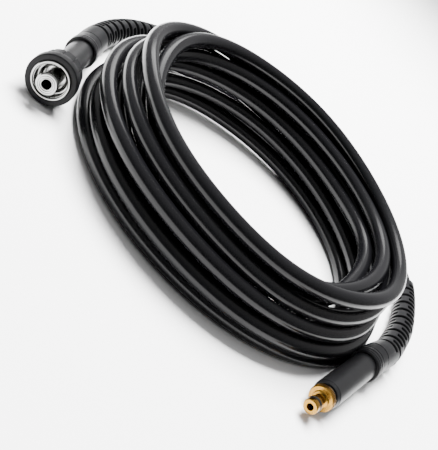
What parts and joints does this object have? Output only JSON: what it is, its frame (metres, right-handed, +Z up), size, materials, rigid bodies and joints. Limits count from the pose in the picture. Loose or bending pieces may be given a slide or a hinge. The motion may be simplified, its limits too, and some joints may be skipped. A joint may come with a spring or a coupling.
{
  "type": "pressure washer hose",
  "caption": "Black high-pressure hose lying in a flat coil, with a swivel screw nut on one end and a brass push-in plug on the other, each behind a ribbed bend protector.",
  "frame": {"origin": "centre of the bounding box's underside, on the floor that the coil lies on", "axes": "+Z up along the coil's axis, -Y the way both fittings point, +X the brass plug's side"},
  "size_m": [0.339, 0.3082, 0.0596],
  "materials": {
    "hose_pvc": "smooth black PVC with a satin shine",
    "boot_plastic": "soft moulded black, matt",
    "sleeve_plastic": "smooth black, matt",
    "grip_plastic": "moulded black, matt",
    "nickel_plated": "bright nickel plate",
    "brass": "machined, satin",
    "o_ring_rubber": "smooth black"
  },
  "bodies": {
    "hose": {"hose_coil": "hose_pvc", "hose_tail_inlet": "hose_pvc", "hose_tail_outlet": "hose_pvc", "inlet_bend_protector": "boot_plastic", "inlet_sleeve": "sleeve_plastic", "inlet_ferrule": "nickel_plated", "inlet_nipple": "nickel_plated", "outlet_bend_protector": "boot_plastic", "outlet_sleeve": "sleeve_plastic", "outlet_ferrule": "nickel_plated", "outlet_plug": "brass", "outlet_o_ring": "o_ring_rubber"},
    "swivel_nut": {"swivel_nut_grip": "grip_plastic", "swivel_nut_insert": "nickel_plated"}
  },
  "joints": [
    {"name": "nut_spin", "type": "hinge", "parent": "hose", "child": "swivel_nut", "pos_m": [-0.12972, -0.1014, 0.01669], "axis": [0.2413, -0.9679, 0.0698], "continuous": true}
  ]
}
